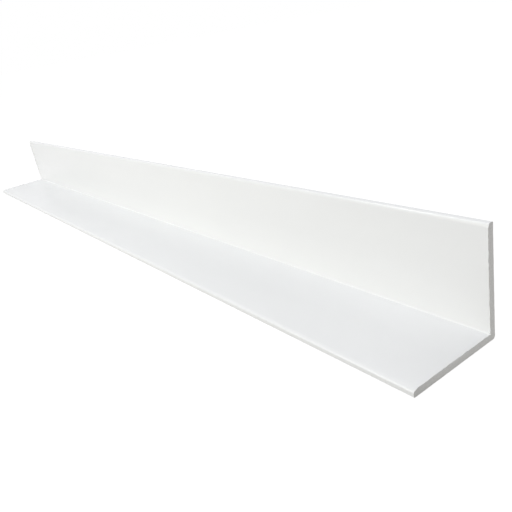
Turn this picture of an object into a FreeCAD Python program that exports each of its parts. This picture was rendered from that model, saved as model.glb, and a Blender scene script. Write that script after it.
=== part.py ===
import FreeCAD, Part

import math
import os

# Corner guard moulding: one extruded length of white rigid plastic angle.
# Millimetres. X runs along the length, Y across the flat leg, Z up.
# The flat leg lies on the floor and the upright leg stands at its +Y edge.
# The origin is at the middle of the length and of the flat leg, at floor level.

# Driving dimensions
length = 600.0
upright_leg = 50.0
flat_leg = 50.0
wall = 3.0

# Rounding of the section
heel_radius = 1.5
root_radius = 0.5
toe_outer_radius = 0.6

# The inner face rolls off to each toe along a quarter ellipse
toe_roll_width = 2.0
toe_roll_depth = 1.1

# Places in the section
back_y = flat_leg / 2
front_y = back_y - flat_leg
inside_y = back_y - wall


def section_corners():
    """Square corners of the L section, in order round it: Y, Z, and how far the
    rounding reaches back along the side before the corner and on along the one after."""
    return [
        (back_y, 0.0, heel_radius, heel_radius),
        (back_y, upright_leg, toe_outer_radius, toe_outer_radius),
        (inside_y, upright_leg, toe_roll_depth, toe_roll_width),
        (inside_y, wall, root_radius, root_radius),
        (front_y, wall, toe_roll_width, toe_roll_depth),
        (front_y, 0.0, toe_outer_radius, toe_outer_radius),
    ]


def quarter_turn(start, corner, end):
    """Quarter circle inside a square corner, or a quarter ellipse where the reaches differ."""
    centre = start + end - corner
    first = start - centre
    second = end - centre
    if math.isclose(first.Length, second.Length):
        middle = centre + (first + second) * math.sqrt(0.5)
        return Part.Arc(start, middle, end).toShape()
    longer, shorter = (start, end) if first.Length > second.Length else (end, start)
    ellipse = Part.Ellipse(longer, shorter, centre)
    return Part.Arc(ellipse, 0.0, math.pi / 2).toShape()


def section_outline(x):
    """Closed wire of the rounded section at one place along the length."""
    corners = section_corners()
    points = [FreeCAD.Vector(x, y, z) for y, z, reach_back, reach_on in corners]
    turns = []
    starts = []
    ends = []
    for index, (y, z, reach_back, reach_on) in enumerate(corners):
        corner = points[index]
        towards_previous = (points[index - 1] - corner).normalize()
        towards_next = (points[(index + 1) % len(points)] - corner).normalize()
        starts.append(corner + towards_previous * reach_back)
        ends.append(corner + towards_next * reach_on)
        turns.append(quarter_turn(starts[index], corner, ends[index]))
    edges = []
    for index, turn in enumerate(turns):
        next_start = starts[(index + 1) % len(starts)]
        edges.append(turn)
        edges.append(Part.LineSegment(ends[index], next_start).toShape())
    return Part.Wire(edges)


def corner_guard():
    """The whole moulding: its section extruded from one square-sawn end to the other."""
    section = Part.Face(section_outline(-length / 2))
    return section.extrude(FreeCAD.Vector(length, 0, 0))


os.makedirs("parts", exist_ok=True)
corner_guard().exportStep("parts/corner_guard.step")
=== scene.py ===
import math
import random

import bpy
from mathutils import Matrix, Vector


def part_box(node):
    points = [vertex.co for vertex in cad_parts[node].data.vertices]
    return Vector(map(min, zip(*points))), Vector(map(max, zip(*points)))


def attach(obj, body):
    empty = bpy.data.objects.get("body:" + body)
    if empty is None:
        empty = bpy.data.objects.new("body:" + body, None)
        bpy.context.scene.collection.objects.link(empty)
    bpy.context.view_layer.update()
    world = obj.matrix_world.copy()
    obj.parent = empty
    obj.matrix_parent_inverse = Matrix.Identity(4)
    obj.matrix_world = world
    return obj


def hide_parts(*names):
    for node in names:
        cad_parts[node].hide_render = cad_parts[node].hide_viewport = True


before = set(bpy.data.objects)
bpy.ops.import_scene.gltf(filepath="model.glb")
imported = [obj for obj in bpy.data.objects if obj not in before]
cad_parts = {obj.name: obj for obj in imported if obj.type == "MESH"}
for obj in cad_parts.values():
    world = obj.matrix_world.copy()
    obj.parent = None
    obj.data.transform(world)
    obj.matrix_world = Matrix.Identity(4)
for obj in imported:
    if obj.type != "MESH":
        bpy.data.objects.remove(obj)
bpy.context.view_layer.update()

# Sizes of the moulding, in metres; its length and legs come from the frame
WALL = 0.003
HEEL_RADIUS = 0.0015
ROOT_RADIUS = 0.0005
TOE_OUTER_RADIUS = 0.0006
TOE_ROLL_WIDTH = 0.002
TOE_ROLL_DEPTH = 0.0011

# How close counts as the same place, in metres, and how square counts as facing one way
NEAR = 0.00001
FACING = 0.9
SAWN_FACING = 0.7

# Below the first angle two faces are merged, and below the second the edge between them looks smooth
FLAT_ANGLE = math.radians(1)
SMOOTH_ANGLE = math.radians(25)

# Steps in each rounding
HEEL_STEPS = 10
ROOT_STEPS = 6
TOE_OUTER_STEPS = 6
TOE_ROLL_STEPS = 14

# Marks of the saw blade on the ends; the stray and the shallowest mark are shares of the pitch and depth
SAW_PITCH = 0.0008
SAW_STRAY = 0.3
SAW_SLANT = math.radians(38)
SAW_DEPTH = 0.00007
SAW_SHALLOWEST = 0.1
SAW_SEED = 7

# The ragged lip that the blade pushes up on the inner faces
LIP_LENGTH = 0.0009
LIP_HEIGHT = 0.00038
LIP_PATTERN_SIZE = 0.0011
LIP_CONTRAST = 2.2

# Box of the moulding, the inner face of its upright leg, and where along its length the sawn faces begin
low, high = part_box("corner_guard")
length = high.x - low.x
inside_y = high.y - WALL
sawn_x = length / 2 - 2 * SAW_DEPTH


def work_on(piece):
    """Only this piece is selected and active."""
    bpy.ops.object.select_all(action="DESELECT")
    piece.select_set(True)
    bpy.context.view_layer.objects.active = piece


def pick_faces(piece, wanted):
    """In edit mode, selects only the faces whose middle and normal are wanted."""
    bpy.ops.mesh.select_mode(type="FACE")
    bpy.ops.mesh.select_all(action="DESELECT")
    bpy.ops.object.mode_set(mode="OBJECT")
    for face in piece.data.polygons:
        face.select = wanted(face.center, face.normal)
    bpy.ops.object.mode_set(mode="EDIT")


def pick_edges(piece, wanted):
    """In edit mode, selects only the edges whose two ends are both wanted."""
    bpy.ops.mesh.select_mode(type="EDGE")
    bpy.ops.mesh.select_all(action="DESELECT")
    bpy.ops.object.mode_set(mode="OBJECT")
    places = piece.data.vertices
    for edge in piece.data.edges:
        edge.select = all(wanted(places[end].co) for end in edge.vertices)
    bpy.ops.object.mode_set(mode="EDIT")


def pick_vertices(piece, wanted):
    """In edit mode, selects only the vertices whose place is wanted."""
    bpy.ops.mesh.select_mode(type="VERT")
    bpy.ops.mesh.select_all(action="DESELECT")
    bpy.ops.object.mode_set(mode="OBJECT")
    for vertex in piece.data.vertices:
        vertex.select = wanted(vertex.co)
    bpy.ops.object.mode_set(mode="EDIT")


def round_corner(piece, y, z, radius, steps):
    """Rounds the edge that runs the whole length at one corner of the section."""
    pick_edges(piece, lambda co: abs(co.y - y) < NEAR and abs(co.z - z) < NEAR)
    bpy.ops.mesh.bevel(offset=radius, segments=steps, affect="EDGES")


def roll_toe(piece, y, z, squeeze):
    """Rounds the inner edge of a toe, then squeezes the rounding towards the face that it leaves."""
    round_corner(piece, y, z, TOE_ROLL_WIDTH, TOE_ROLL_STEPS)
    reach = TOE_ROLL_WIDTH + NEAR
    pick_vertices(piece, lambda co: abs(co.y - y) < reach and abs(co.z - z) < reach)
    bpy.ops.transform.resize(value=squeeze, center_override=(0, y, z))


def square_angle():
    """The flat leg as a block, with the upright leg drawn up out of its back edge."""
    block_high = Vector((high.x, high.y, low.z + WALL))
    bpy.ops.object.select_all(action="DESELECT")
    bpy.ops.mesh.primitive_cube_add(size=1, location=(low + block_high) / 2, scale=block_high - low)
    bpy.ops.object.transform_apply(location=True, rotation=True, scale=True)
    piece = bpy.context.object
    piece.name = "moulding"
    bpy.ops.object.mode_set(mode="EDIT")
    bpy.ops.mesh.select_all(action="SELECT")
    bpy.ops.mesh.bisect(plane_co=(0, inside_y, 0), plane_no=(0, 1, 0))
    pick_faces(piece, lambda middle, normal: middle.y > inside_y and normal.z > FACING)
    rise = high.z - low.z - WALL
    bpy.ops.mesh.extrude_region_move(TRANSFORM_OT_translate={"value": (0, 0, rise)})
    bpy.ops.mesh.select_all(action="SELECT")
    bpy.ops.mesh.dissolve_limited(angle_limit=FLAT_ANGLE)
    return piece


def round_section(piece):
    """Rounds the heel, the root and the two toes."""
    wall_z = low.z + WALL
    flatter = TOE_ROLL_DEPTH / TOE_ROLL_WIDTH
    round_corner(piece, high.y, low.z, HEEL_RADIUS, HEEL_STEPS)
    round_corner(piece, inside_y, wall_z, ROOT_RADIUS, ROOT_STEPS)
    roll_toe(piece, inside_y, high.z, (1, flatter, 1))
    round_corner(piece, high.y, high.z, TOE_OUTER_RADIUS, TOE_OUTER_STEPS)
    roll_toe(piece, low.y, wall_z, (1, 1, flatter))
    round_corner(piece, low.y, low.z, TOE_OUTER_RADIUS, TOE_OUTER_STEPS)


def saw_end(piece, side):
    """Cuts one end face along the slanting lines that a saw blade leaves, and sinks each line a little."""
    end_x = side * length / 2
    bpy.ops.mesh.select_all(action="SELECT")
    bpy.ops.mesh.bisect(plane_co=(end_x - side * LIP_LENGTH, 0, 0), plane_no=(1, 0, 0))
    across = Vector((0, math.cos(SAW_SLANT), math.sin(SAW_SLANT)))
    first = across.dot(Vector((0, low.y, low.z)))
    last = across.dot(Vector((0, high.y, high.z)))
    chance = random.Random(SAW_SEED + side)
    marks = range(1, int((last - first) / SAW_PITCH))
    lines = [first + (mark + chance.uniform(-SAW_STRAY, SAW_STRAY)) * SAW_PITCH for mark in marks]
    for line in lines:
        pick_faces(piece, lambda middle, normal: normal.x * side > FACING)
        bpy.ops.mesh.bisect(plane_co=across * line, plane_no=across)
    for line in lines:
        pick_vertices(piece, lambda co: co.x * side > length / 2 - NEAR and abs(across.dot(co) - line) < NEAR)
        sink = chance.uniform(SAW_SHALLOWEST, 1.0) * SAW_DEPTH
        bpy.ops.transform.translate(value=(-side * sink, 0, 0))


def raise_lip(piece, group_name, direction, strength, wanted):
    """Pushes the sawn edge of one inner face up into a ragged lip."""
    group = piece.vertex_groups.new(name=group_name)
    group.add([v.index for v in piece.data.vertices if wanted(v.co)], 1.0, "REPLACE")
    ragged = bpy.data.textures.new(group_name, "CLOUDS")
    ragged.noise_scale = LIP_PATTERN_SIZE
    ragged.noise_depth = 1
    ragged.contrast = LIP_CONTRAST
    lip = piece.modifiers.new(group_name, "DISPLACE")
    lip.vertex_group = group_name
    lip.texture = ragged
    lip.texture_coords = "LOCAL"
    lip.direction = direction
    lip.mid_level = 0.0
    lip.strength = strength
    bpy.ops.object.modifier_apply(modifier=group_name)


def make_moulding():
    """The whole moulding in one piece, from its section to its sawn ends."""
    piece = square_angle()
    round_section(piece)
    for side in (1, -1):
        saw_end(piece, side)
    bpy.ops.object.mode_set(mode="OBJECT")
    raise_lip(
        piece, "flat_leg_lip", "Z", LIP_HEIGHT,
        lambda co: abs(co.x) > sawn_x and abs(co.z - low.z - WALL) < NEAR)
    raise_lip(
        piece, "upright_leg_lip", "Y", -LIP_HEIGHT,
        lambda co: abs(co.x) > sawn_x and abs(co.y - inside_y) < NEAR)
    work_on(piece)
    bpy.ops.object.shade_smooth_by_angle(angle=SMOOTH_ANGLE)
    flat_faces = piece.modifiers.new("flat_faces", "WEIGHTED_NORMAL")
    flat_faces.mode = "FACE_AREA"
    flat_faces.keep_sharp = True
    bpy.ops.object.modifier_apply(modifier="flat_faces")
    return piece


# Plastic: how strongly it bends light, and its colours where it is darker and paler
PLASTIC_IOR = 1.53
WHITE_DARKER = (0.850, 0.858, 0.852, 1)
WHITE_PALER = (0.870, 0.878, 0.870, 1)
# The sawn colours mottle at random, and both sit a little below the white plastic as painted shade on the end
# faces
SAWN_SHADED_DARKER = (0.735, 0.728, 0.698, 1)
SAWN_SHADED_PALER = (0.860, 0.853, 0.823, 1)

# Patterns in the plastic: how many times each repeats in a metre, along X, Y and Z
CLOUD_SCALE = (6, 30, 30)
SMUDGE_SCALE = (14, 40, 40)
RIPPLE_SCALE = (9, 22, 22)
DIE_LINE_SCALE = (3, 900, 900)
SKIN_SCALE = (900, 900, 900)
MOTTLE_SCALE = (1500, 1500, 1500)
TEETH_SCALE = (200, 5000, 700)

# Heights of the patterns that the surface follows, in metres, and how strongly they show
RIPPLE_BUMP = (0.0006, 0.25)
DIE_LINE_BUMP = (0.00003, 0.35)
SKIN_BUMP = (0.00002, 0.25)
TEETH_BUMP = (0.00006, 0.6)
MOTTLE_BUMP = (0.00008, 0.6)

# Part of a noise pattern's range that a colour or a roughness follows
NOISE_RANGE = (0.3, 0.7)


def plain_material(name):
    """A new material, and its node tree with a Principled shader already in it."""
    material = bpy.data.materials.new(name)
    material.use_nodes = True
    return material, material.node_tree


def add_node(tree, kind, **values):
    node = tree.nodes.new(kind)
    for name, value in values.items():
        if name in node.inputs:
            node.inputs[name].default_value = value
        else:
            setattr(node, name, value)
    return node


def stretched(tree, scale, turn=(0, 0, 0)):
    """Object coordinates in metres, stretched by a scale along each axis."""
    place = add_node(tree, "ShaderNodeTexCoord")
    mapping = add_node(tree, "ShaderNodeMapping", Scale=scale, Rotation=turn)
    tree.links.new(place.outputs["Object"], mapping.inputs["Vector"])
    return mapping.outputs["Vector"]


def noise(tree, vector, detail=2.0, roughness=0.5):
    """Height of a noise pattern, from 0 to 1."""
    texture = add_node(tree, "ShaderNodeTexNoise", Scale=1.0, Detail=detail, Roughness=roughness)
    tree.links.new(vector, texture.inputs["Vector"])
    return texture.outputs["Fac"]


def number_ramp(tree, pattern, start, end, low_value, high_value):
    """A number that goes from one value to the other while the pattern goes from start to end."""
    ramp = add_node(tree, "ShaderNodeMapRange")
    ramp.inputs["From Min"].default_value = start
    ramp.inputs["From Max"].default_value = end
    ramp.inputs["To Min"].default_value = low_value
    ramp.inputs["To Max"].default_value = high_value
    tree.links.new(pattern, ramp.inputs["Value"])
    return ramp.outputs["Result"]


def colour_ramp(tree, pattern, start, end, low_colour, high_colour):
    """A colour that goes from one to the other while the pattern goes from start to end."""
    ramp = add_node(tree, "ShaderNodeValToRGB")
    first, last = ramp.color_ramp.elements
    first.position = start
    first.color = low_colour
    last.position = end
    last.color = high_colour
    tree.links.new(pattern, ramp.inputs["Fac"])
    return ramp.outputs["Color"]


def bumped(tree, height, rise, under=None):
    """A normal raised by a height pattern, on top of another normal where one is given."""
    distance, strength = rise
    bump = add_node(tree, "ShaderNodeBump", Distance=distance, Strength=strength)
    tree.links.new(height, bump.inputs["Height"])
    if under is not None:
        tree.links.new(under, bump.inputs["Normal"])
    return bump.outputs["Normal"]


def white_plastic():
    """Rigid white plastic as it leaves the die: satin, with faint lines along its length."""
    material, tree = plain_material("white plastic")
    shader = tree.nodes["Principled BSDF"]
    shader.inputs["IOR"].default_value = PLASTIC_IOR
    shader.inputs["Specular IOR Level"].default_value = 0.5
    cloud = noise(tree, stretched(tree, CLOUD_SCALE), detail=3.0)
    colour = colour_ramp(tree, cloud, *NOISE_RANGE, WHITE_DARKER, WHITE_PALER)
    tree.links.new(colour, shader.inputs["Base Color"])
    smudge = noise(tree, stretched(tree, SMUDGE_SCALE), detail=4.0, roughness=0.6)
    sheen = number_ramp(tree, smudge, *NOISE_RANGE, 0.20, 0.26)
    tree.links.new(sheen, shader.inputs["Roughness"])
    die_lines = noise(tree, stretched(tree, DIE_LINE_SCALE))
    skin = noise(tree, stretched(tree, SKIN_SCALE))
    ripple = noise(tree, stretched(tree, RIPPLE_SCALE), detail=1.0)
    normal = bumped(tree, ripple, RIPPLE_BUMP)
    normal = bumped(tree, die_lines, DIE_LINE_BUMP, normal)
    normal = bumped(tree, skin, SKIN_BUMP, normal)
    tree.links.new(normal, shader.inputs["Normal"])
    return material


def sawn_plastic():
    """The cut face: the same plastic, torn dull and mottled by the teeth, its colour set a little darker than
    the white plastic as painted shade on the ends.
    """
    material, tree = plain_material("sawn plastic")
    shader = tree.nodes["Principled BSDF"]
    shader.inputs["IOR"].default_value = PLASTIC_IOR
    shader.inputs["Specular IOR Level"].default_value = 0.3
    shader.inputs["Roughness"].default_value = 0.8
    mottle = noise(tree, stretched(tree, MOTTLE_SCALE), detail=3.0, roughness=0.65)
    colour = colour_ramp(tree, mottle, *NOISE_RANGE, SAWN_SHADED_DARKER, SAWN_SHADED_PALER)
    tree.links.new(colour, shader.inputs["Base Color"])
    teeth = noise(tree, stretched(tree, TEETH_SCALE, (SAW_SLANT, 0, 0)))
    normal = bumped(tree, teeth, TEETH_BUMP)
    normal = bumped(tree, mottle, MOTTLE_BUMP, normal)
    tree.links.new(normal, shader.inputs["Normal"])
    return material


def finish_surfaces(piece):
    """White plastic all over, and the sawn finish on the two end faces."""
    piece.data.materials.append(white_plastic())
    piece.data.materials.append(sawn_plastic())
    work_on(piece)
    bpy.ops.object.mode_set(mode="EDIT")
    pick_faces(piece, lambda middle, normal: abs(middle.x) > sawn_x and abs(normal.x) > SAWN_FACING)
    piece.active_material_index = 1
    bpy.ops.object.material_slot_assign()
    bpy.ops.object.mode_set(mode="OBJECT")


# Studio: a pale floor in an even pale surround, and six soft lamps
FLOOR_SIZE = 60.0
SURROUND_LEVEL = 0.49

# The floor that the camera sees: how much of the light on it shows, and a glow that makes it white
FLOOR_SHOWN = 0.12
FLOOR_GLOW = 0.945

# The floor that lights the moulding: how pale it is, and a darker strip along the toe, which is painted shade
# that darkens the toe's face. The strip has its full tone up to the first distance from its middle, and none
# of it from the second
FLOOR_BOUNCE = 0.60
SHADE_STRIP_BOUNCE = 0.38
STRIP_MIDDLE = -0.048
STRIP_REACH = (0.020, 0.035)

# What all the lamps point at
LAMP_AIM = Vector((-0.05, 0.0, 0.02))

# Lamps: name, place, width and height, colour, watts
LAMPS = [
    ("high lamp", (0.45, -0.95, 0.85), (0.8, 0.8), (1.0, 0.97, 0.97), 3.85),
    ("overhead lamp", (0.0, -0.30, 1.00), (0.4, 0.4), (0.73, 0.80, 1.0), 1.5),
    ("low lamp", (0.08, -0.50, 0.09), (0.3, 0.14), (1.0, 0.98, 0.80), 0.45),
    ("side lamp", (-0.62, -0.85, 0.85), (0.3, 0.3), (1.0, 1.0, 1.0), 3.3),
    ("back lamp", (-0.10, 0.80, 1.00), (1.0, 0.4), (1.0, 1.0, 1.0), 1.7),
    ("rear lamp", (-0.10, 2.60, 0.20), (1.0, 0.3), (1.0, 1.0, 1.0), 12.0),
]

# Camera: found by fitting the moulding's own edges to the photograph
CAMERA_PLACE = Vector((0.4124, -0.1517, 0.1309))
CAMERA_LOOK = Vector((-0.779, 0.502, -0.375))
CAMERA_UP = Vector((-0.208, 0.357, 0.911))
CAMERA_LENS = 39.7
SENSOR_WIDTH = 36.0
CAMERA_SEES_FROM = 0.01
CAMERA_SEES_TO = 200.0


def seen_or_lit(tree, output, seen, lit):
    """One shader for what the camera sees, directly or mirrored, and another for the light that it gives."""
    light_path = add_node(tree, "ShaderNodeLightPath")
    looks = light_path.outputs["Is Camera Ray"]
    for kind in ("Is Glossy Ray", "Is Transmission Ray"):
        either = add_node(tree, "ShaderNodeMath", operation="MAXIMUM")
        tree.links.new(looks, either.inputs[0])
        tree.links.new(light_path.outputs[kind], either.inputs[1])
        looks = either.outputs[0]
    chosen = add_node(tree, "ShaderNodeMixShader")
    tree.links.new(looks, chosen.inputs["Fac"])
    tree.links.new(lit, chosen.inputs[1])
    tree.links.new(seen, chosen.inputs[2])
    tree.links.new(chosen.outputs[0], output.inputs["Surface"])


def floor_tone(tree):
    """How pale the floor is in the light that it gives: a darker strip in front of the flat leg's toe paints
    shade onto the toe's face.
    """
    place = add_node(tree, "ShaderNodeTexCoord")
    split = add_node(tree, "ShaderNodeSeparateXYZ")
    tree.links.new(place.outputs["Object"], split.inputs[0])
    aside = add_node(tree, "ShaderNodeMath", operation="SUBTRACT")
    tree.links.new(split.outputs["Y"], aside.inputs[0])
    aside.inputs[1].default_value = STRIP_MIDDLE
    away = add_node(tree, "ShaderNodeMath", operation="ABSOLUTE")
    tree.links.new(aside.outputs[0], away.inputs[0])
    return number_ramp(tree, away.outputs[0], *STRIP_REACH, SHADE_STRIP_BOUNCE, FLOOR_BOUNCE)


def add_floor():
    """The floor shows white, apart from the shadow close to the moulding."""
    bpy.ops.object.select_all(action="DESELECT")
    bpy.ops.mesh.primitive_plane_add(size=FLOOR_SIZE, location=(0, 0, low.z))
    floor = bpy.context.object
    floor.name = "floor"
    material, tree = plain_material("pale floor")
    tree.nodes.remove(tree.nodes["Principled BSDF"])
    bounce = add_node(tree, "ShaderNodeBsdfDiffuse")
    tree.links.new(floor_tone(tree), bounce.inputs["Color"])
    shown = add_node(tree, "ShaderNodeBsdfDiffuse", Color=(FLOOR_SHOWN, FLOOR_SHOWN, FLOOR_SHOWN, 1))
    glow = add_node(tree, "ShaderNodeEmission", Strength=FLOOR_GLOW)
    seen = add_node(tree, "ShaderNodeAddShader")
    tree.links.new(shown.outputs[0], seen.inputs[0])
    tree.links.new(glow.outputs[0], seen.inputs[1])
    seen_or_lit(tree, tree.nodes["Material Output"], seen.outputs[0], bounce.outputs[0])
    floor.data.materials.append(material)


def add_lamps():
    """The soft rectangular lamps, all pointing at the moulding."""
    for name, place, size, colour, watts in LAMPS:
        bpy.ops.object.select_all(action="DESELECT")
        bpy.ops.object.light_add(type="AREA", location=place)
        lamp = bpy.context.object
        lamp.name = name
        lamp.data.shape = "RECTANGLE"
        lamp.data.size, lamp.data.size_y = size
        lamp.data.color = colour
        lamp.data.energy = watts
        lamp.rotation_euler = (LAMP_AIM - Vector(place)).to_track_quat("-Z", "Y").to_euler()


def set_surround():
    """An even light from all round, which the camera sees as white."""
    world = bpy.data.worlds.new("surround")
    bpy.context.scene.world = world
    world.use_nodes = True
    tree = world.node_tree
    light = tree.nodes["Background"]
    light.inputs["Color"].default_value = (1, 1, 1, 1)
    light.inputs["Strength"].default_value = SURROUND_LEVEL
    white = add_node(tree, "ShaderNodeBackground", Color=(1, 1, 1, 1), Strength=1.0)
    seen_or_lit(tree, tree.nodes["World Output"], white.outputs[0], light.outputs[0])


def add_camera():
    """The photograph's viewing angle."""
    bpy.ops.object.select_all(action="DESELECT")
    bpy.ops.object.camera_add(location=CAMERA_PLACE)
    camera = bpy.context.object
    back = -CAMERA_LOOK.normalized()
    right = CAMERA_UP.cross(back).normalized()
    upward = back.cross(right)
    camera.rotation_euler = Matrix((right, upward, back)).transposed().to_euler()
    camera.data.lens = CAMERA_LENS
    camera.data.sensor_width = SENSOR_WIDTH
    camera.data.sensor_fit = "HORIZONTAL"
    camera.data.clip_start = CAMERA_SEES_FROM
    camera.data.clip_end = CAMERA_SEES_TO
    bpy.context.scene.camera = camera


moulding = make_moulding()
finish_surfaces(moulding)
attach(moulding, "root")
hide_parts("corner_guard")

add_floor()
add_lamps()
set_surround()
add_camera()
bpy.context.scene.view_settings.view_transform = "Standard"
